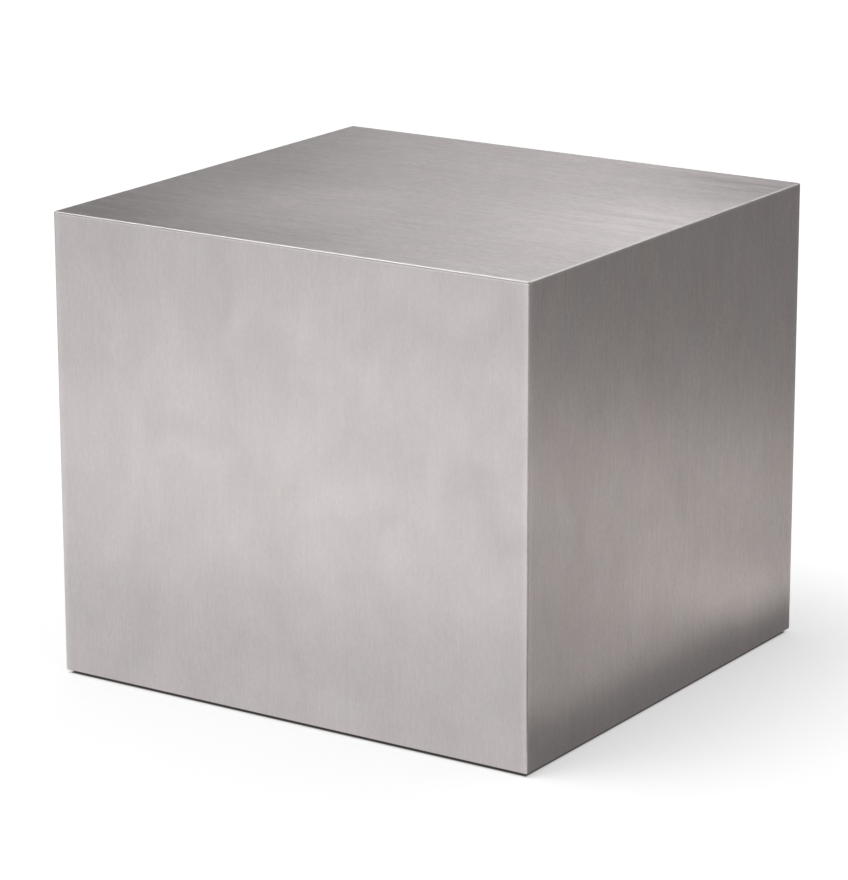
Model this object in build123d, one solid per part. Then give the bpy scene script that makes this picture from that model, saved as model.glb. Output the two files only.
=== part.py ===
from build123d import *

import os

# Steel-clad cube side table.
#
# Brushed stainless sheets are bonded over a board carcass, and the table stands on four screw feet
# hidden in a recess under its base. The origin is on the floor under the middle of the table, +Z is
# up, the front faces -Y, and the feet are screwed fully in. Sizes are in millimetres.

# The table as a whole
WIDTH = 495.0  # along X
DEPTH = 465.0  # along Y
HEIGHT = 430.0  # floor to top, feet screwed in
FLOOR_GAP = 3.0  # under the lower edge of the sheets

# The steel skin
SHEET = 1.5  # sheet thickness, and the outer radius of its folds and dressed welds
RETURN = 20.0  # lip folded in under the walls
MITRE_SLIT = 0.4  # between the two lips of one sheet, at its folded corner

# The carcass
BOARD = 15.0
BASE_Z = 19.0  # underside of the base board
BATTEN = 30.0  # square corner batten
CLEAT = 20.0  # square cleat along the top of the base board

# Wood screws: head radius, head height, shank radius, length
BOARD_SCREW = (4.0, 2.6, 2.0, 45.0)
BASE_SCREW = (4.0, 2.6, 2.0, 30.0)
RETURN_SCREW = (3.8, 1.2, 1.75, 12.0)
SCREW_POINT = 5.0  # length of the tapered point
RECESS_DEPTH = 1.0  # of the cross in a head

# The screw feet
FOOT_INSET = 60.0  # from the outer faces to a foot's axis
FOOT_TRAVEL = 15.0  # from fully in to fully out
STUD_RADIUS = 3.95
STUD_SPARE = 12.3  # thread still above the nut when the foot is fully out
HEX_ACROSS_FLATS = 13.0
PAD_RADIUS = 20.0
PAD_Z = 0.8  # rim of the pad, which the sole stands below
PAD_TOP = 11.0
SOLE_RADIUS = 18.0
SOLE_THICKNESS = 2.5
TEE_BORE_RADIUS = 4.0
TEE_FLANGE = 1.5
TEE_FLANGE_RADIUS = 11.0
TEE_BARREL_RADIUS = 5.0
TEE_BARREL_LENGTH = 9.0
CLEARANCE = 0.1  # around the stud's collar and neck, and around the sole
SEAT_GAP = 0.2  # between a foot's hexagon and its nut, screwed in

# Places worked out from the sizes above
HALF_W, HALF_D = WIDTH / 2, DEPTH / 2
SKIN_TOP = HEIGHT - SHEET  # top of the walls, and underside of the top sheet
CARCASS_Z = FLOOR_GAP + SHEET
OUT_X, OUT_Y = HALF_W - SHEET, HALF_D - SHEET  # carcass outer faces
IN_X, IN_Y = OUT_X - BOARD, OUT_Y - BOARD  # carcass inner faces
MID_X, MID_Y = OUT_X - BOARD / 2, OUT_Y - BOARD / 2  # middle of the wall boards
WALL_TOP = SKIN_TOP - BOARD
BASE_TOP = BASE_Z + BOARD
HEX_TOP = BASE_Z - TEE_FLANGE - SEAT_GAP
STUD_TOP = BASE_Z + TEE_BARREL_LENGTH + STUD_SPARE + FOOT_TRAVEL
CORNERS = {
    "front_left": (-1, -1),
    "front_right": (1, -1),
    "rear_left": (-1, 1),
    "rear_right": (1, 1),
}


def block(x, y, z):
    """A box from (low, high) pairs along each axis."""
    sizes = [high - low for low, high in (x, y, z)]
    middle = [(low + high) / 2 for low, high in (x, y, z)]
    return Pos(*middle) * Box(*sizes)


def turned(points):
    """A solid of revolution about Z from (radius, z) corners."""
    return revolve(Plane.XZ * make_face(Polyline(*points, close=True)), Axis.Z)


def spread(half_length, count):
    """Evenly spaced values from -half_length to half_length."""
    return [half_length * (2 * i / (count - 1) - 1) for i in range(count)]


# ---- Steel skin


def skin_shell():
    """All five sheets and their welds as one hollow shell, with the lips folded in at the bottom."""
    body = block((-HALF_W, HALF_W), (-HALF_D, HALF_D), (FLOOR_GAP, HEIGHT))
    body = fillet(body.edges(), SHEET)
    hollow = block((-OUT_X, OUT_X), (-OUT_Y, OUT_Y), (CARCASS_Z, SKIN_TOP))
    mouth_x, mouth_y = HALF_W - RETURN, HALF_D - RETURN
    mouth = block((-mouth_x, mouth_x), (-mouth_y, mouth_y), (0, CARCASS_Z))
    return body - hollow - mouth


def corner_square(sx, sy):
    """The square column at one corner that the vertical weld fills."""
    xs = sorted((sx * OUT_X, sx * HALF_W))
    ys = sorted((sy * OUT_Y, sy * HALF_D))
    return block(xs, ys, (FLOOR_GAP, SKIN_TOP))


def front_right_side():
    """A prism over the front and right walls. Its edge mitres the lips at the two welded corners."""
    inside, outside = BATTEN, SHEET
    corners = [
        (-HALF_W - outside, -HALF_D - outside),
        (HALF_W + outside, -HALF_D - outside),
        (HALF_W + outside, HALF_D + outside),
        (HALF_W - inside, HALF_D - inside),
        (-HALF_W + inside, -HALF_D + inside),
    ]
    outline = make_face(Polyline(*corners, close=True))
    return extrude(Pos(0, 0, FLOOR_GAP) * outline, SKIN_TOP - FLOOR_GAP)


def mitre_slit(sx, sy):
    """The slit between the two lips of one sheet, from the mouth into the relief at its folded corner."""
    run_over, relief = 2.0, 0.6
    near = RETURN + run_over
    far = SHEET - relief
    length = (near - far) * 2**0.5
    middle = (near + far) / 2
    place = Pos(sx * (HALF_W - middle), sy * (HALF_D - middle), FLOOR_GAP + SHEET / 2)
    return place * Rot(0, 0, 45 * sx * sy) * Box(length, MITRE_SLIT, SHEET)


def skin_parts(return_screws):
    """The three sheets and three welds, each as its own solid."""
    shell = skin_shell()
    top_layer = block((-HALF_W, HALF_W), (-HALF_D, HALF_D), (SKIN_TOP, HEIGHT))
    top_plate = block((-OUT_X, OUT_X), (-OUT_Y, OUT_Y), (SKIN_TOP, HEIGHT))
    front_left, rear_right = corner_square(-1, -1), corner_square(1, 1)
    walls = shell - top_layer - front_left - rear_right
    folded = front_right_side()
    return {
        "top_sheet": shell & top_plate,
        "top_edge_weld": (shell & top_layer) - top_plate,
        "front_left_weld": shell & front_left,
        "rear_right_weld": shell & rear_right,
        "front_right_sheet": (walls & folded) - mitre_slit(1, -1) - return_screws,
        "rear_left_sheet": walls - folded - mitre_slit(-1, 1) - return_screws,
    }


# ---- Screws


def screw(sizes, countersunk):
    """(screw, plain blank). The head's face is at the origin and the screw points along +Z."""
    head, head_height, shank, length = sizes
    neck = [(head, 0.4), (shank, head_height)] if countersunk else [(head, head_height), (shank, head_height)]
    rim = [(head, 0)] if countersunk else [(head - 0.5, 0), (head, 0.5)]
    blank = turned([(0, 0), *rim, *neck, (shank, length - SCREW_POINT), (0, length)])
    arm, width = 1.1 * head, 0.25 * head
    cross = Box(arm, width, 2 * RECESS_DEPTH) + Box(width, arm, 2 * RECESS_DEPTH)
    return blank - cross, blank


def screw_set(sizes, places, countersunk=True):
    """(screws, blanks) at each place. The blanks cut the holes that the screws bite into."""
    one, blank = screw(sizes, countersunk)
    return [place * one for place in places], [place * blank for place in places]


def top_screw_places():
    """Down through the top board into the upper edges of the walls."""
    rows = [(x, side * MID_Y) for side in (-1, 1) for x in spread(0.8 * IN_X, 4)]
    columns = [(side * MID_X, y) for side in (-1, 1) for y in spread(0.7 * IN_Y, 3)]
    return [Pos(x, y, SKIN_TOP) * Rot(180, 0, 0) for x, y in rows + columns]


def wall_screw_places():
    """Through the front and rear boards into the ends of the left and right boards."""
    lowest, pitch = CARCASS_Z + 45, 110
    return [
        Pos(sx * MID_X, sy * OUT_Y, lowest + pitch * i) * Rot(90 * sy, 0, 0)
        for sx, sy in CORNERS.values()
        for i in range(4)
    ]


def base_screw_places():
    """Up through the base board into the cleats and the corner battens."""
    row_y, column_x = IN_Y - CLEAT / 2, IN_X - CLEAT / 2
    batten_x, batten_y = IN_X - BATTEN / 2, IN_Y - BATTEN / 2
    rows = [(x, side * row_y) for side in (-1, 1) for x in spread(0.6 * IN_X, 3)]
    columns = [(side * column_x, y) for side in (-1, 1) for y in spread(0.6 * IN_Y, 3)]
    corners = [(sx * batten_x, sy * batten_y) for sx, sy in CORNERS.values()]
    return [Pos(x, y, BASE_Z) for x, y in rows + columns + corners]


def return_screw_places():
    """Up through the folded lips into the lower edges of the walls."""
    head_z = FLOOR_GAP - RETURN_SCREW[1]
    rows = [(x, side * MID_Y) for side in (-1, 1) for x in spread(0.75 * IN_X, 4)]
    columns = [(side * MID_X, y) for side in (-1, 1) for y in spread(0.7 * IN_Y, 3)]
    return [Pos(x, y, head_z) for x, y in rows + columns]


# ---- Carcass


def wall_boards():
    """Front and rear boards run the full width, and the side boards fit between them."""
    z = (CARCASS_Z, WALL_TOP)
    return {
        "front_board": block((-OUT_X, OUT_X), (-OUT_Y, -IN_Y), z),
        "rear_board": block((-OUT_X, OUT_X), (IN_Y, OUT_Y), z),
        "left_board": block((-OUT_X, -IN_X), (-IN_Y, IN_Y), z),
        "right_board": block((IN_X, OUT_X), (-IN_Y, IN_Y), z),
    }


def top_board():
    return block((-OUT_X, OUT_X), (-OUT_Y, OUT_Y), (WALL_TOP, SKIN_TOP))


def base_board():
    """Fits between the walls, with a through hole for each tee nut's barrel."""
    board = block((-IN_X, IN_X), (-IN_Y, IN_Y), (BASE_Z, BASE_TOP))
    hole = Cylinder(TEE_BARREL_RADIUS, BOARD)
    return board - [Pos(x, y, BASE_Z + BOARD / 2) * hole for x, y in foot_axes().values()]


def corner_battens():
    """One upright in each inner corner, from the base board to the top board."""
    found = {}
    for corner, (sx, sy) in CORNERS.items():
        xs = sorted((sx * IN_X, sx * (IN_X - BATTEN)))
        ys = sorted((sy * IN_Y, sy * (IN_Y - BATTEN)))
        found[f"corner_batten_{corner}"] = block(xs, ys, (BASE_TOP, WALL_TOP))
    return found


def base_cleats():
    """Rails along the walls, between the battens, that the base board is screwed up into."""
    z = (BASE_TOP, BASE_TOP + CLEAT)
    run_x, run_y = IN_X - BATTEN, IN_Y - BATTEN
    return {
        "base_cleat_front": block((-run_x, run_x), (-IN_Y, CLEAT - IN_Y), z),
        "base_cleat_rear": block((-run_x, run_x), (IN_Y - CLEAT, IN_Y), z),
        "base_cleat_left": block((-IN_X, CLEAT - IN_X), (-run_y, run_y), z),
        "base_cleat_right": block((IN_X - CLEAT, IN_X), (-run_y, run_y), z),
    }


# ---- Screw feet


def foot_axes():
    """Corner name to the (x, y) of its foot."""
    x, y = HALF_W - FOOT_INSET, HALF_D - FOOT_INSET
    return {corner: (sx * x, sy * y) for corner, (sx, sy) in CORNERS.items()}


def tee_nut():
    """Flanged nut pressed up into the base board, with four prongs bent out of its flange."""
    flange_z, barrel_top = BASE_Z - TEE_FLANGE, BASE_Z + TEE_BARREL_LENGTH
    prong_width, prong_height, prong_radius = 4.0, 6.0, 8.5
    body = turned(
        [
            (TEE_BORE_RADIUS, flange_z),
            (TEE_FLANGE_RADIUS, flange_z),
            (TEE_FLANGE_RADIUS, BASE_Z),
            (TEE_BARREL_RADIUS, BASE_Z),
            (TEE_BARREL_RADIUS, barrel_top),
            (TEE_BORE_RADIUS, barrel_top),
        ]
    )
    spike = [(-prong_width / 2, BASE_Z), (prong_width / 2, BASE_Z), (0, BASE_Z + prong_height)]
    notch_depth = TEE_FLANGE_RADIUS - prong_radius
    for quarter in range(4):
        turn = Rot(0, 0, 45 + 90 * quarter)
        plate = extrude(Plane.XZ * make_face(Polyline(*spike, close=True)), TEE_FLANGE)
        notch = Box(prong_width, notch_depth, TEE_FLANGE)
        body -= turn * Pos(0, prong_radius + notch_depth / 2, flange_z + TEE_FLANGE / 2) * notch
        body += turn * Pos(0, prong_radius, 0) * plate
    return body


def foot_stud():
    """Spinning stud: a collar held in the pad, a neck, a hexagon for a spanner and the threaded shank."""
    collar, collar_z, collar_top, neck = 6.5, 3.5, 5.5, 4.0
    hex_z, chamfer_size = PAD_TOP + CLEARANCE, 1.0
    shaft = turned(
        [
            (0, collar_z),
            (collar, collar_z),
            (collar, collar_top),
            (neck, collar_top),
            (neck, hex_z),
            (STUD_RADIUS, hex_z),
            (STUD_RADIUS, STUD_TOP - chamfer_size),
            (STUD_RADIUS - chamfer_size, STUD_TOP),
            (0, STUD_TOP),
        ]
    )
    outline = RegularPolygon(HEX_ACROSS_FLATS / 2, 6, major_radius=False)
    return shaft + extrude(Pos(0, 0, hex_z) * outline, HEX_TOP - hex_z)


def foot_pad():
    """Round moulded pad with a pocket from below for the stud's collar, and a recess for the sole."""
    neck, pocket, pocket_top = 4.0 + CLEARANCE, 6.5 + CLEARANCE, 5.5 + CLEARANCE
    return turned(
        [
            (SOLE_RADIUS + CLEARANCE, PAD_Z),
            (PAD_RADIUS - 0.5, PAD_Z),
            (PAD_RADIUS, PAD_Z + 0.5),
            (PAD_RADIUS, 4.5),
            (PAD_RADIUS - 1.0, 6.0),
            (12.0, PAD_TOP - 0.8),
            (11.0, PAD_TOP),
            (neck, PAD_TOP),
            (neck, pocket_top),
            (pocket, pocket_top),
            (pocket, SOLE_THICKNESS),
            (SOLE_RADIUS + CLEARANCE, SOLE_THICKNESS),
        ]
    )


def foot_sole():
    """Soft disc bonded into the underside of the pad, which closes the collar's pocket."""
    edge = 0.5
    return turned(
        [
            (0, 0),
            (SOLE_RADIUS - edge, 0),
            (SOLE_RADIUS, edge),
            (SOLE_RADIUS, SOLE_THICKNESS),
            (0, SOLE_THICKNESS),
        ]
    )


# ---- Assembly


def build():
    """Node name to its solid or list of solids."""
    top_screws, top_blanks = screw_set(BOARD_SCREW, top_screw_places())
    wall_screws, wall_blanks = screw_set(BOARD_SCREW, wall_screw_places())
    base_screws, base_blanks = screw_set(BASE_SCREW, base_screw_places())
    lip_screws, lip_blanks = screw_set(RETURN_SCREW, return_screw_places(), countersunk=False)
    nuts = [Pos(x, y, 0) * tee_nut() for x, y in foot_axes().values()]

    nodes = skin_parts(lip_blanks)
    nodes["top_board"] = top_board() - top_blanks
    for name, board in wall_boards().items():
        nodes[name] = board - top_blanks - wall_blanks - lip_blanks
    nodes["base_board"] = base_board() - base_blanks - nuts
    for name, piece in {**corner_battens(), **base_cleats()}.items():
        nodes[name] = piece - base_blanks
    nodes["top_board_screws"] = top_screws
    nodes["wall_screws"] = wall_screws
    nodes["base_board_screws"] = base_screws
    nodes["return_screws"] = lip_screws
    nodes["tee_nuts"] = nuts
    for corner, (x, y) in foot_axes().items():
        nodes[f"foot_pad_{corner}"] = Pos(x, y, 0) * foot_pad()
        nodes[f"foot_sole_{corner}"] = Pos(x, y, 0) * foot_sole()
        nodes[f"foot_stud_{corner}"] = Pos(x, y, 0) * foot_stud()
    return nodes


os.makedirs("parts", exist_ok=True)
for node, shape in build().items():
    solids = shape if isinstance(shape, list) else shape.solids()
    solids = [solid for piece in solids for solid in piece.solids()]
    export_step(Compound(label=node, children=solids), f"parts/{node}.step")
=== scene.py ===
"""Steel-clad cube side table: materials, detailed hardware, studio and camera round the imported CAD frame.

Everything is in metres. The table stands on Z = 0, its front faces -Y, and its screw feet are fully in.
"""

import math

import bmesh
import bpy
from mathutils import Matrix, Vector


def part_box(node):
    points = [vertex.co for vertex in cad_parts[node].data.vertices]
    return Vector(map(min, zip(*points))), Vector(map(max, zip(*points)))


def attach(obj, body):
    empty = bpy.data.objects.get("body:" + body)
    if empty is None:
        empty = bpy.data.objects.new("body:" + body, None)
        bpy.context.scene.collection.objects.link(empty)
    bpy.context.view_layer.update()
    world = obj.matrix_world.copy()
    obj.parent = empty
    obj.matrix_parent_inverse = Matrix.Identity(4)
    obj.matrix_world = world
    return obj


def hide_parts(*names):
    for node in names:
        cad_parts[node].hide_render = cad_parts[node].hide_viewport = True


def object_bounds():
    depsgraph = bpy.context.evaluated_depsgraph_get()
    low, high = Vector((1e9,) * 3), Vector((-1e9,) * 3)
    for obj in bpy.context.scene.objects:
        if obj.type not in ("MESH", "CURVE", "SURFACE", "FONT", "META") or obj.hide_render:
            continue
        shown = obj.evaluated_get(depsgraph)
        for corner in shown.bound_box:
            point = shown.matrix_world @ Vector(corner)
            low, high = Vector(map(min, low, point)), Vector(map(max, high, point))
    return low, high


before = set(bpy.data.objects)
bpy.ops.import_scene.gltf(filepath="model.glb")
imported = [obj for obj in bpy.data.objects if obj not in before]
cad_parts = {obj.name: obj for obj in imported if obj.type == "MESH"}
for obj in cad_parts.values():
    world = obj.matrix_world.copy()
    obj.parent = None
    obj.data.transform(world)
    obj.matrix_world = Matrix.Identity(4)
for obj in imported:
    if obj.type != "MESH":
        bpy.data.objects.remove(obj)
cad_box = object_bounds()

MM = 0.001
CORNERS = ("front_left", "front_right", "rear_left", "rear_right")

low, high = (Vector(corner) for corner in cad_box)
HALF_W, HALF_D, TOP_Z = high.x, high.y, high.z
WALL_FOOT_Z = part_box("front_right_sheet")[0][2]


# ---- Node trees


class Shader:
    """A Principled material, and short calls for the nodes that feed it."""

    def __init__(self, name, **constants):
        self.material = bpy.data.materials.new(name)
        self.material.use_nodes = True
        self.tree = self.material.node_tree
        self.principled = self.tree.nodes["Principled BSDF"]
        for socket, value in constants.items():
            self.principled.inputs[socket.replace("_", " ")].default_value = value
        self.place = self.node("ShaderNodeTexCoord").outputs["Object"]

    def node(self, kind, **settings):
        made = self.tree.nodes.new(kind)
        for name, value in settings.items():
            setattr(made, name, value)
        return made

    def feed(self, socket, value):
        """Link a socket, or set a plain value on it."""
        if isinstance(value, bpy.types.NodeSocket):
            self.tree.links.new(value, socket)
        else:
            socket.default_value = value

    def math(self, operation, first, second=0.0):
        made = self.node("ShaderNodeMath", operation=operation)
        self.feed(made.inputs[0], first)
        self.feed(made.inputs[1], second)
        return made.outputs[0]

    def noise(self, size, detail=2.0, roughness=0.5, seed=0.0, place=None, distortion=0.0):
        """Noise whose features are about size = (x, y, z) metres. The output is about 0.5 on average."""
        scaled = self.node("ShaderNodeMapping", vector_type="POINT")
        self.feed(scaled.inputs["Vector"], place or self.place)
        scaled.inputs["Scale"].default_value = [1 / length for length in size]
        scaled.inputs["Location"].default_value = (seed, 1.7 * seed, 2.3 * seed)
        made = self.node("ShaderNodeTexNoise")
        self.feed(made.inputs["Vector"], scaled.outputs[0])
        made.inputs["Scale"].default_value = 1.0
        made.inputs["Detail"].default_value = detail
        made.inputs["Roughness"].default_value = roughness
        made.inputs["Distortion"].default_value = distortion
        return made.outputs["Fac"]

    def remap(self, value, from_low, from_high, to_low, to_high, smooth=False):
        made = self.node("ShaderNodeMapRange", interpolation_type="SMOOTHSTEP" if smooth else "LINEAR")
        limits = (from_low, from_high, to_low, to_high)
        for socket, number in zip(("From Min", "From Max", "To Min", "To Max"), limits):
            made.inputs[socket].default_value = number
        self.feed(made.inputs["Value"], value)
        return made.outputs["Result"]

    def mix(self, factor, first, second, blend="MIX"):
        """Mix two colours, each a socket or (r, g, b)."""
        made = self.node("ShaderNodeMix", data_type="RGBA", blend_type=blend)
        self.feed(made.inputs["Factor"], factor)
        for socket, colour in ((made.inputs[6], first), (made.inputs[7], second)):
            self.feed(socket, colour if isinstance(colour, bpy.types.NodeSocket) else (*colour, 1.0))
        return made.outputs[2]

    def axes(self):
        """The x, y and z sockets of the object's coordinates."""
        made = self.node("ShaderNodeSeparateXYZ")
        self.feed(made.inputs[0], self.place)
        return made.outputs

    def patch(self, at, radius):
        """A soft round patch, 1 in the middle and 0 from the radius out."""
        made = self.node("ShaderNodeVectorMath", operation="DISTANCE")
        self.feed(made.inputs[0], self.place)
        made.inputs[1].default_value = at
        return self.remap(made.outputs["Value"], 0.0, radius, 1.0, 0.0, smooth=True)

    def bump(self, height, distance, strength=1.0, under=None):
        made = self.node("ShaderNodeBump")
        made.inputs["Distance"].default_value = distance
        made.inputs["Strength"].default_value = strength
        self.feed(made.inputs["Height"], height)
        if under is not None:
            self.feed(made.inputs["Normal"], under)
        return made.outputs["Normal"]

    def finish(self, colour=None, roughness=None, normal=None):
        for socket, value in (("Base Color", colour), ("Roughness", roughness), ("Normal", normal)):
            if value is not None:
                self.feed(self.principled.inputs[socket], value)
        return self.material


# ---- Steel


# Base colour of the sheet where it is darkest and lightest, the two tints that drift over it, and the
# tint of the side walls.
STEEL_DARK, STEEL_LIGHT = (0.590, 0.549, 0.547), (0.640, 0.598, 0.598)
COOL_TINT, WARM_TINT = (0.98, 1.0, 1.0), (1.02, 0.995, 0.985)
SIDE_TINT = (1.005, 0.995, 0.98)

# Brush marks lighten and darken the steel by these shares: hair, speck, strand.
WALL_GRAIN = (0.095, 0.06, 0.025)
TOP_GRAIN = (0.28, 0.10, 0.10)

# Patches of painted shade and painted highlight on the top sheet, darker at the front-left and rear-right
# corners: place as a share of its half width and half depth, radius, lightening.
TOP_PAINTED_PATCHES = (
    ((1.0, 1.0), 0.20, -0.26),
    ((0.85, 0.0), 0.17, 0.16),
    ((-0.4, -0.45), 0.15, 0.18),
    ((-1.0, -1.0), 0.20, -0.20),
)


def sized(along, across, length):
    """Feature sizes for a grain that runs along one axis, 0 for X or 2 for Z."""
    return [length if axis == along else across for axis in range(3)]


class Steel(Shader):
    """Brushed and lightly patinated sheet, its grain along one axis."""

    def __init__(self, name, along, brush_across):
        super().__init__(name, Metallic=1.0, Anisotropic=0.55)
        tangent = self.node("ShaderNodeCombineXYZ")
        for socket, value in zip(tangent.inputs, brush_across):
            socket.default_value = value
        self.feed(self.principled.inputs["Tangent"], tangent.outputs[0])

        self.hair = self.noise(sized(along, 0.7 * MM, 12 * MM), detail=3, roughness=0.7)
        self.strand = self.noise(sized(along, 3 * MM, 60 * MM), detail=3, roughness=0.6, seed=3.1)
        self.speck = self.noise(sized(along, 2.4 * MM, 4 * MM), detail=4, roughness=0.65, seed=21.0)
        cloud_size = sized(along, 55 * MM, 75 * MM)
        self.cloud = self.noise(cloud_size, detail=4, roughness=0.55, seed=7.7, distortion=0.5)
        self.tint = self.noise(sized(along, 28 * MM, 45 * MM), detail=2, seed=12.9)

        x, y, self.height = self.axes()
        self.from_side = self.math("SUBTRACT", HALF_W, self.math("ABSOLUTE", x))
        self.from_front = self.math("SUBTRACT", HALF_D, self.math("ABSOLUTE", y))

    def patina(self, tint_share):
        """The sheet's colour: grey clouds, with a share of the tints."""
        tone = self.remap(self.cloud, 0.25, 0.75, 0.0, 1.0)
        colour = self.mix(tone, STEEL_DARK, STEEL_LIGHT)
        warm = self.remap(self.tint, 0.35, 0.65, 0.0, 1.0)
        tinted = self.mix(1.0, colour, self.mix(warm, COOL_TINT, WARM_TINT), "MULTIPLY")
        return self.mix(tint_share, colour, tinted)

    def grain(self, depths):
        """How much the brush marks lighten or darken the sheet, about 0 on average."""
        layers = [
            self.remap(mark, 0.2, 0.8, -depth, depth)
            for mark, depth in zip((self.hair, self.speck, self.strand), depths)
        ]
        return self.math("ADD", self.math("ADD", layers[0], layers[1]), layers[2])

    def ground_band_and_highlight(self, from_top_edge):
        """A lighter band in the last few millimetres beside the weld of the top edge: partly a ground band,
        partly a painted highlight.
        """
        return self.remap(from_top_edge, 2.4 * MM, 3.2 * MM, 0.14, 0.0, smooth=True)

    def brushed(self, colour, level):
        """Finish the sheet in a colour that is scaled by level."""
        shade = self.node("ShaderNodeCombineColor")
        for socket in shade.inputs:
            self.feed(socket, level)
        colour = self.mix(1.0, colour, shade.outputs[0], "MULTIPLY")
        rough = self.remap(self.cloud, 0.25, 0.75, 0.44, 0.40)
        rough = self.math("ADD", rough, self.remap(self.hair, 0.2, 0.8, -0.05, 0.05))
        return self.finish(colour, rough, self.bump(self.hair, 0.02 * MM, 0.5))


def brushed_walls():
    """Brushed upright. The side walls are marked more strongly than the front and rear. A painted highlight
    lightens the steel by the vertical corners.
    """
    steel = Steel("brushed_walls", along=2, brush_across=(1, 1, 0))
    side = steel.remap(steel.from_side, 0.0, 2 * MM, 1.0, 0.0)
    colour = steel.patina(steel.remap(side, 0.0, 1.0, 0.2, 0.65))
    colour = steel.mix(side, colour, steel.mix(1.0, colour, SIDE_TINT, "MULTIPLY"))

    grain = steel.math("MULTIPLY", steel.grain(WALL_GRAIN), steel.remap(side, 0.0, 1.0, 1.0, 1.6))
    # Painted highlight: the walls' colour is lighter in the last few millimetres below the top edge.
    edge_highlight = steel.ground_band_and_highlight(steel.math("SUBTRACT", TOP_Z, steel.height))
    level = steel.math("ADD", steel.math("ADD", grain, 1.0), edge_highlight)
    # Painted highlight: the walls' colour is lighter within 9 mm of each vertical corner.
    from_fold = steel.math("MAXIMUM", steel.from_side, steel.from_front)
    level = steel.math("ADD", level, steel.remap(from_fold, 0.0, 9 * MM, 0.12, 0.0, smooth=True))
    return steel.brushed(colour, level)


def brushed_top():
    """Brushed along X, with deeper marks than the walls, a few soft patches of painted shade and painted
    highlight, and a painted highlight by its edges.
    """
    steel = Steel("brushed_top", along=0, brush_across=(0, 1, 0))
    # Painted highlight: the top's colour is lighter in the last few millimetres by its edges.
    edge_highlight = steel.ground_band_and_highlight(steel.math("MINIMUM", steel.from_side, steel.from_front))
    level = steel.math("ADD", steel.math("ADD", steel.grain(TOP_GRAIN), 1.0), edge_highlight)
    wisp = steel.noise(sized(0, 14 * MM, 120 * MM), detail=3, seed=31.0)
    wisp = steel.remap(wisp, 0.3, 0.7, 0.4, 1.6)
    for at, radius, depth in TOP_PAINTED_PATCHES:
        # Each patch paints shade or highlight onto the top: a soft round patch, streaked along X.
        painted_patch = steel.patch((at[0] * HALF_W, at[1] * HALF_D, TOP_Z), radius)
        painted_patch = steel.math("MULTIPLY", wisp, steel.math("MULTIPLY", painted_patch, depth))
        level = steel.math("ADD", level, painted_patch)
    return steel.brushed(steel.patina(0.3), level)


def dressed_weld():
    """Ground and polished edge, brighter than the faces."""
    weld = Shader("dressed_weld", Metallic=1.0)
    fine = weld.noise((0.6 * MM,) * 3, detail=3)
    patch = weld.noise((25 * MM,) * 3, detail=3, seed=4.0)
    colour = weld.mix(weld.remap(patch, 0.3, 0.7, 0.0, 1.0), (0.66, 0.64, 0.615), (0.74, 0.72, 0.70))
    rough = weld.remap(patch, 0.3, 0.7, 0.34, 0.42)
    rough = weld.math("ADD", rough, weld.remap(fine, 0.3, 0.7, -0.03, 0.03))
    return weld.finish(colour, rough, weld.bump(fine, 0.01 * MM, 0.5))


def zinc_plate(name, tone):
    """Bright zinc, slightly mottled."""
    zinc = Shader(name, Metallic=1.0)
    mottle = zinc.noise((2.5 * MM,) * 3, detail=4)
    fine = zinc.noise((0.25 * MM,) * 3, detail=2, seed=2.0)
    dark, light = [0.82 * channel for channel in tone], tone
    colour = zinc.mix(zinc.remap(mottle, 0.3, 0.7, 0.0, 1.0), dark, light)
    rough = zinc.remap(mottle, 0.3, 0.7, 0.36, 0.24)
    return zinc.finish(colour, rough, zinc.bump(fine, 0.01 * MM, 0.4))


# ---- Wood, plastic and rubber


def fibreboard(name, dark, light, gloss):
    """Pressed fibres: fine flecks and soft clumps."""
    board = Shader(name)
    fleck = board.noise((0.9 * MM, 0.9 * MM, 0.9 * MM), detail=5, roughness=0.7)
    clump = board.noise((14 * MM,) * 3, detail=3, seed=5.0)
    factor = board.remap(fleck, 0.3, 0.7, 0.0, 0.7)
    factor = board.math("ADD", factor, board.remap(clump, 0.3, 0.7, 0.0, 0.3))
    rough = board.remap(fleck, 0.3, 0.7, gloss + 0.08, gloss - 0.08)
    return board.finish(board.mix(factor, dark, light), rough, board.bump(fleck, 0.1 * MM, 0.5))


def pine(name, along):
    """Softwood with growth rings seen as bands along one axis."""
    wood = Shader(name)
    ring = wood.noise(sized(along, 5 * MM, 260 * MM), detail=3, roughness=0.55, distortion=0.6)
    fibre = wood.noise(sized(along, 0.5 * MM, 18 * MM), detail=3, roughness=0.65, seed=9.0)
    band = wood.remap(ring, 0.42, 0.58, 0.0, 1.0, smooth=True)
    colour = wood.mix(band, (0.78, 0.60, 0.38), (0.62, 0.40, 0.20))
    colour = wood.mix(wood.remap(fibre, 0.35, 0.7, 0.0, 0.35), colour, (0.50, 0.33, 0.18))
    return wood.finish(colour, wood.remap(fibre, 0.3, 0.7, 0.5, 0.68), wood.bump(fibre, 0.08 * MM, 0.6))


def black_nylon():
    nylon = Shader("black_nylon")
    grain = nylon.noise((0.5 * MM,) * 3, detail=3)
    scuff = nylon.noise((9 * MM,) * 3, detail=4, seed=6.0)
    colour = nylon.mix(nylon.remap(scuff, 0.45, 0.75, 0.0, 1.0), (0.018, 0.018, 0.02), (0.05, 0.049, 0.048))
    return nylon.finish(colour, nylon.remap(scuff, 0.3, 0.7, 0.42, 0.58), nylon.bump(grain, 0.05 * MM, 0.5))


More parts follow.
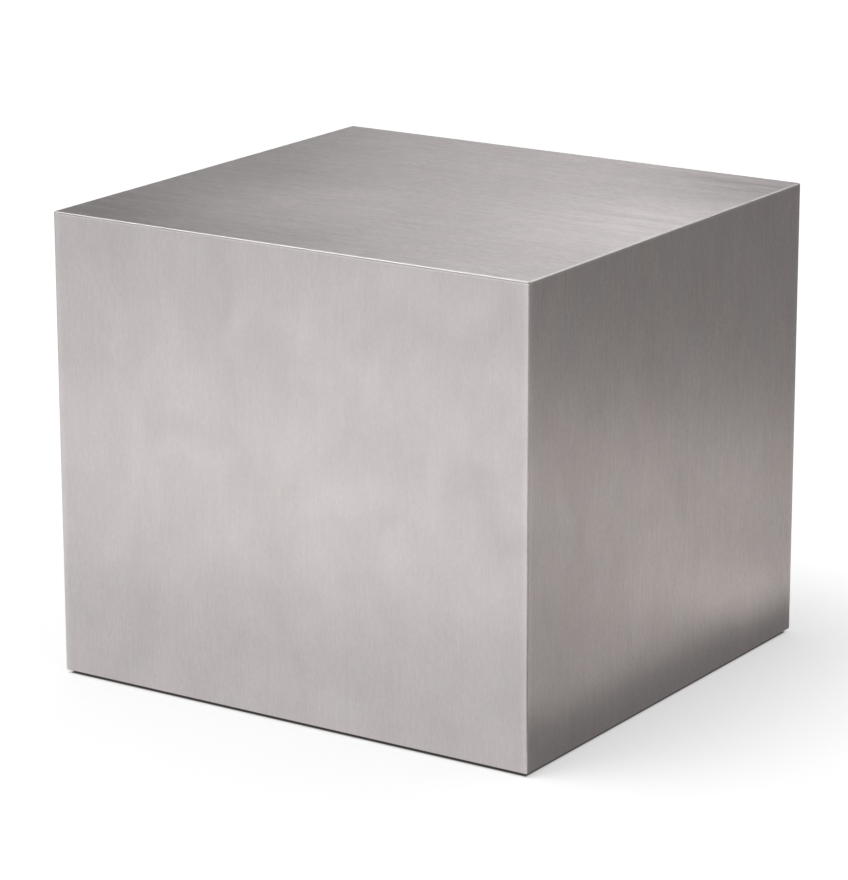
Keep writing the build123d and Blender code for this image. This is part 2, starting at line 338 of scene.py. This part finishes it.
def sole_rubber():
    rubber = Shader("sole_rubber")
    dust = rubber.noise((1.2 * MM,) * 3, detail=4, roughness=0.7)
    colour = rubber.mix(rubber.remap(dust, 0.4, 0.75, 0.0, 1.0), (0.035, 0.034, 0.033), (0.12, 0.115, 0.11))
    rough = rubber.remap(dust, 0.3, 0.7, 0.78, 0.92)
    return rubber.finish(colour, rough, rubber.bump(dust, 0.08 * MM, 0.6))


# ---- The CAD nodes that stay, and their materials


def dress(material, *nodes):
    """Give each CAD node one material, on all its slots."""
    for node in nodes:
        for material_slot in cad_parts[node].material_slots:
            material_slot.material = material


def dress_cad_nodes():
    dress(brushed_walls(), "front_right_sheet", "rear_left_sheet")
    dress(brushed_top(), "top_sheet")
    dress(dressed_weld(), "top_edge_weld", "front_left_weld", "rear_right_weld")
    raw = fibreboard("fibreboard", (0.36, 0.25, 0.15), (0.60, 0.46, 0.31), 0.75)
    dress(raw, "top_board", "front_board", "rear_board", "left_board", "right_board")
    dress(fibreboard("black_fibreboard", (0.012, 0.012, 0.012), (0.04, 0.039, 0.038), 0.55), "base_board")
    dress(pine("pine_upright", along=2), *(f"corner_batten_{corner}" for corner in CORNERS))
    dress(pine("pine_rail_x", along=0), "base_cleat_front", "base_cleat_rear")
    dress(pine("pine_rail_y", along=1), "base_cleat_left", "base_cleat_right")
    zinc = zinc_plate("zinc", (0.66, 0.66, 0.64))
    dress(zinc, "top_board_screws", "wall_screws", "tee_nuts")
    dress(zinc_plate("black_zinc", (0.09, 0.09, 0.095)), "base_board_screws")
    dress(zinc_plate("plain_stainless", (0.64, 0.62, 0.61)), "return_screws")
    nylon, rubber = black_nylon(), sole_rubber()
    dress(nylon, *(f"foot_pad_{corner}" for corner in CORNERS))
    detail_feet(zinc, rubber)


# ---- Screw feet, in finer detail than their CAD solids

EDGE = 0.3 * MM  # small bevel on the stud's collar

# The stud: collar and neck in the pad, hexagon between pad and nut, M8 thread above it
COLLAR_CLEARANCE = 1.0 * MM  # between the node's widest place and the collar, on a radius
COLLAR_HEIGHT = 2.0 * MM
NECK_RADIUS = 4.0 * MM
HEX_ACROSS_FLATS = 13.0 * MM
HEX_ABOVE_PAD, HEX_BELOW_NUT = 0.1 * MM, 0.2 * MM
THREAD_CREST = 3.95 * MM
THREAD_PITCH = 1.25 * MM
THREAD_DEPTH = 0.65 * MM
THREAD_START = 0.4 * MM  # plain shank above the hexagon
TIP_CHAMFER = 0.8 * MM
ROWS_IN_A_TURN = 8

# The sole: flat lands between ring grooves
LAND, GROOVE, GROOVE_DEPTH = 2.4 * MM, 0.8 * MM, 0.5 * MM
SOLE_MIDDLE = 1.2 * MM  # radius of its flat centre
SOLE_EDGE = 0.4 * MM


def turned_piece(name, rows, segments, centre, material):
    """A closed turned mesh about a vertical axis.

    Each row is (z, radius), where radius is a number or a function of the angle.
    """
    mesh = bpy.data.meshes.new(name)
    shape = bmesh.new()
    angles = [math.tau * step / segments for step in range(segments)]
    rings = []
    for z, radius in rows:
        ring = []
        for angle in angles:
            reach = radius(angle) if callable(radius) else radius
            x, y = centre[0] + reach * math.cos(angle), centre[1] + reach * math.sin(angle)
            ring.append(shape.verts.new((x, y, z)))
        rings.append(ring)
    for lower, upper in zip(rings, rings[1:]):
        for step in range(segments):
            after = (step + 1) % segments
            shape.faces.new((lower[step], lower[after], upper[after], upper[step]))
    shape.faces.new(reversed(rings[0]))
    shape.faces.new(rings[-1])
    shape.to_mesh(mesh)
    shape.free()
    for face in mesh.polygons:
        face.use_smooth = True
    mesh.set_sharp_from_angle(angle=math.radians(35))
    mesh.materials.append(material)
    made = bpy.data.objects.new(name, mesh)
    bpy.context.scene.collection.objects.link(made)
    return made


def thread_radius(turns, depth):
    """Radius by angle of a helical V thread, so many turns up from its start."""
    flat_crest, flat_root = 0.12, 0.85

    def radius(angle):
        groove = 1 - abs(2 * ((turns - angle / math.tau) % 1.0) - 1)
        groove = min(max((groove - flat_crest) / (flat_root - flat_crest), 0.0), 1.0)
        return THREAD_CREST - depth * groove

    return radius


def thread_rows(z_low, z_high):
    """Rows of a thread that runs out at both ends."""
    count = round((z_high - z_low) / THREAD_PITCH * ROWS_IN_A_TURN)
    rows = []
    for step in range(count + 1):
        z = z_low + (z_high - z_low) * step / count
        fade = min(1.0, (z - z_low) / THREAD_PITCH, (z_high - z) / THREAD_PITCH)
        rows.append((z, thread_radius((z - z_low) / THREAD_PITCH, THREAD_DEPTH * fade)))
    return rows


def hexagon(corner_cut):
    """Radius of the hexagon by angle, no further out than corner_cut."""

    def radius(angle):
        from_flat = (angle + math.pi / 6) % (math.pi / 3) - math.pi / 6
        return min(HEX_ACROSS_FLATS / 2 / math.cos(from_flat), corner_cut)

    return radius


def hexagon_rows(z_low, z_high):
    """A hexagon whose corners are chamfered at both ends."""
    corner = HEX_ACROSS_FLATS / 2 / math.cos(math.pi / 6)
    cut = 0.97 * HEX_ACROSS_FLATS / 2
    chamfer = []
    for share in (0, 0.5, 1):
        out = share * (corner - cut)
        chamfer.append((out * math.tan(math.pi / 6), hexagon(cut + out)))
    rows = [(z_low + rise, radius) for rise, radius in chamfer]
    return rows + [(z_high - rise, radius) for rise, radius in reversed(chamfer)]


def stud_rows(low, high):
    """Collar, neck, hexagon and thread, from the node's lowest to its highest point."""
    hex_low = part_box("foot_pad_front_left")[1][2] + HEX_ABOVE_PAD
    hex_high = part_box("tee_nuts")[0][2] - HEX_BELOW_NUT
    collar, collar_top = (high.x - low.x) / 2 - COLLAR_CLEARANCE, low.z + COLLAR_HEIGHT
    rows = [
        (low.z, collar - EDGE),
        (low.z + EDGE, collar),
        (collar_top - EDGE, collar),
        (collar_top, collar - EDGE),
        (collar_top, NECK_RADIUS),
        (hex_low, NECK_RADIUS),
    ]
    rows += hexagon_rows(hex_low, hex_high)
    rows += [(hex_high, THREAD_CREST)]
    rows += thread_rows(hex_high + THREAD_START, high.z - TIP_CHAMFER)
    return rows + [(high.z, THREAD_CREST - TIP_CHAMFER)]


def sole_rows(low, high, outer):
    """A soft disc with ring grooves in the face it stands on, from its middle outwards and up."""
    rows = [(low.z, SOLE_MIDDLE)]
    reach = LAND
    while reach + LAND + GROOVE < outer:
        rows += [
            (low.z, reach),
            (low.z + GROOVE_DEPTH, reach + 0.2 * GROOVE),
            (low.z + GROOVE_DEPTH, reach + 0.8 * GROOVE),
            (low.z, reach + GROOVE),
        ]
        reach += LAND + GROOVE
    return rows + [(low.z, outer - SOLE_EDGE), (low.z + SOLE_EDGE, outer), (high.z, outer)]


def detail_feet(zinc, rubber):
    """Threaded studs and ringed soles, each on the body of the CAD node that it stands for."""
    for corner in CORNERS:
        stud, sole = f"foot_stud_{corner}", f"foot_sole_{corner}"
        low, high = (Vector(place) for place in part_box(stud))
        centre = (low + high) / 2
        piece = turned_piece(f"threaded_stud_{corner}", stud_rows(low, high), 48, centre, zinc)
        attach(piece, f"stud_{corner}")
        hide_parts(stud)
        low, high = (Vector(place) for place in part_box(sole))
        rows = sole_rows(low, high, (high.x - low.x) / 2)
        piece = turned_piece(f"ringed_sole_{corner}", rows, 64, centre, rubber)
        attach(piece, f"foot_{corner}")
        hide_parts(sole)


# ---- Studio

FLOOR_SIZE = 40.0
FLOOR_LIFT = 0.44  # light that the floor gives off by itself
BACKDROP_RADIUS = 24.0


def plane(name, size, material, at=(0, 0, 0), aim=(0, 0, 1)):
    """A square stage plane that faces along aim."""
    half = size / 2
    mesh = bpy.data.meshes.new(name)
    corners = [(-half, -half, 0), (half, -half, 0), (half, half, 0), (-half, half, 0)]
    mesh.from_pydata(corners, [], [(0, 1, 2, 3)])
    made = bpy.data.objects.new(name, mesh)
    made.location = at
    made.rotation_euler = Vector(aim).to_track_quat("Z", "Y").to_euler()
    mesh.materials.append(material)
    bpy.context.scene.collection.objects.link(made)
    return made


def pale_floor():
    """White floor with an even lift of its own, except under the table, where it has no lift and a painted
    shadow, a dark colour.

    It isn't reflected: the steel reflects the soft lights that lie on it in its place.
    """
    paint = Shader("floor_white")
    paint.principled.inputs["Specular IOR Level"].default_value = 0.0
    drift = paint.noise((0.8, 0.8, 0.8), detail=2)
    colour = paint.mix(paint.remap(drift, 0.3, 0.7, 0.0, 1.0), (0.86, 0.86, 0.86), (0.88, 0.88, 0.88))
    x, y, _ = paint.axes()
    past_x = paint.math("SUBTRACT", paint.math("ABSOLUTE", x), HALF_W)
    past_y = paint.math("SUBTRACT", paint.math("ABSOLUTE", y), HALF_D)
    outside = paint.remap(paint.math("MAXIMUM", past_x, past_y), -4 * MM, -2 * MM, 0.0, 1.0, smooth=True)
    paint.feed(paint.principled.inputs["Emission Color"], colour)
    paint.feed(paint.principled.inputs["Emission Strength"], paint.math("MULTIPLY", outside, FLOOR_LIFT))
    # Painted shadow: the floor's colour is dark under the table.
    colour = paint.mix(outside, (0.30, 0.29, 0.28), colour)
    floor = plane("floor", FLOOR_SIZE, paint.finish(colour, 0.9))
    floor.visible_glossy = False
    return floor


def white_backdrop():
    """A far white dome that only the camera sees, so that a low view has no grey sky."""
    paint = Shader("backdrop_white", Roughness=1.0)
    paint.principled.inputs["Specular IOR Level"].default_value = 0.0
    paint.principled.inputs["Base Color"].default_value = (0, 0, 0, 1)
    paint.principled.inputs["Emission Color"].default_value = (1, 1, 1, 1)
    paint.principled.inputs["Emission Strength"].default_value = 1.0
    mesh = bpy.data.meshes.new("backdrop")
    shape = bmesh.new()
    bmesh.ops.create_uvsphere(shape, u_segments=48, v_segments=24, radius=BACKDROP_RADIUS)
    shape.to_mesh(mesh)
    shape.free()
    mesh.materials.append(paint.material)
    dome = bpy.data.objects.new("backdrop", mesh)
    dome.visible_diffuse = dome.visible_glossy = dome.visible_transmission = dome.visible_shadow = False
    bpy.context.scene.collection.objects.link(dome)


def soft_light(name, at, aim, size, watts, colour=(1, 1, 1)):
    """A rectangular area light at a place, turned towards another. It lights the floor only off the steel."""
    light = bpy.data.lights.new(name, "AREA")
    light.shape = "RECTANGLE"
    light.size, light.size_y = size
    light.energy = watts
    light.color = colour
    made = bpy.data.objects.new(name, light)
    made.location = at
    made.rotation_euler = (Vector(at) - Vector(aim)).to_track_quat("Z", "Y").to_euler()
    made.visible_camera = False
    made.visible_diffuse = False
    bpy.context.scene.collection.objects.link(made)
    return made


def studio_world(level):
    world = bpy.data.worlds.new("studio")
    world.use_nodes = True
    world.node_tree.nodes["Background"].inputs["Color"].default_value = (1, 1, 1, 1)
    world.node_tree.nodes["Background"].inputs["Strength"].default_value = level
    bpy.context.scene.world = world


def soft_sun(name, towards_light, spread, strength):
    """A far light of a wide angle, which falls evenly on the floor and isn't mirrored in the steel."""
    light = bpy.data.lights.new(name, "SUN")
    light.energy = strength
    light.angle = math.radians(spread)
    made = bpy.data.objects.new(name, light)
    made.visible_glossy = False
    made.rotation_euler = Vector(towards_light).to_track_quat("Z", "Y").to_euler()
    bpy.context.scene.collection.objects.link(made)
    return made


def floor_pools():
    """Soft lights laid flat where the pale floor shines in the steel, each a little above the last."""
    white, warm = (1, 1, 1), (1.0, 0.95, 0.915)
    # Name, extent along X, extent along Y, watts, colour.
    pools = (
        ("front_near", (-0.70, 0.30), (-0.61, -HALF_D), 0.73, white),
        ("front", (-1.10, 0.20), (-1.60, -0.60), 4.4, white),
        ("front_far", (-2.60, -0.20), (-3.20, -1.60), 16, white),
        ("corner", (0.60, 1.30), (-1.05, -0.35), 1.4, white),
        ("right", (0.30, 0.90), (0.20, 0.80), 0.34, warm),
        ("right_out", (0.575, 1.125), (0.125, 0.675), 0.45, warm),
        ("right_near", (0.32, 0.52), (-0.15, 0.35), 0.115, warm),
        ("rear", (-1.40, 0.15), (0.40, 1.80), 5, white),
        ("left", (-1.60, -0.32), (-0.20, 0.40), 2.0, white),
    )
    for layer, (name, x, y, watts, colour) in enumerate(pools, start=1):
        at = Vector((sum(x) / 2, sum(y) / 2, layer * MM))
        soft_light(f"pool_{name}", at, at + Vector((0, 0, 1)), (x[1] - x[0], y[1] - y[0]), watts, colour)


def light_studio():
    """Two suns shape the floor's shadow. The steel mirrors the grey world, the pools and the cards."""
    studio_world(0.235)
    pale_floor()
    white_backdrop()
    soft_sun("key", (-0.22, -0.26, 0.94), 30, 0.92)
    soft_sun("sky", (0, 0, 1), 170, 0.85)
    floor_pools()
    soft_light("top_card", (-0.45, 0.9, 0.85), (0.1, 0, TOP_Z), (0.5, 0.5), 0.15)
    soft_light("top_high", (-0.6, 1.4, 2.2), (0, 0, TOP_Z), (1.4, 1.0), 10.6)
    soft_light("top_back", (1.6, -1.8, 1.5), (0, 0, TOP_Z), (1.6, 1.2), 4)
    soft_light("rim_front", (-1.1, -0.8, 2.1), (0, -HALF_D, TOP_Z), (1.0, 1.0), 12.5)
    soft_light("rim_right", (0.9, 2.1, 1.8), (HALF_W, 0, TOP_Z), (0.8, 0.8), 5.5)


# ---- Camera


def photo_camera():
    """A long lens seen from the front right, a little above the table."""
    azimuth, elevation, roll = (math.radians(angle) for angle in (33.54, 15.75, -0.10))
    distance, lens = 3.532, 158.7
    aside = Vector((-0.0084, -0.0124))
    steel_middle = Vector((0, 0, (WALL_FOOT_Z + TOP_Z) / 2))
    back = Vector(
        (
            math.sin(azimuth) * math.cos(elevation),
            -math.cos(azimuth) * math.cos(elevation),
            math.sin(elevation),
        )
    )
    right = Vector((math.cos(azimuth), math.sin(azimuth), 0))
    up = back.cross(right)
    right, up = right * math.cos(roll) + up * math.sin(roll), up * math.cos(roll) - right * math.sin(roll)
    data = bpy.data.cameras.new("camera")
    data.lens = lens
    data.sensor_width = data.sensor_height = 36.0
    data.sensor_fit = "AUTO"
    data.clip_end = 100.0
    camera = bpy.data.objects.new("camera", data)
    place = steel_middle + back * distance + right * aside.x + up * aside.y
    turn = Matrix((right, up, back)).transposed()
    camera.matrix_world = Matrix.Translation(place) @ turn.to_4x4()
    bpy.context.scene.collection.objects.link(camera)
    bpy.context.scene.camera = camera


dress_cad_nodes()
light_studio()
photo_camera()
bpy.context.scene.view_settings.view_transform = "Standard"
bpy.context.scene.view_settings.look = "None"
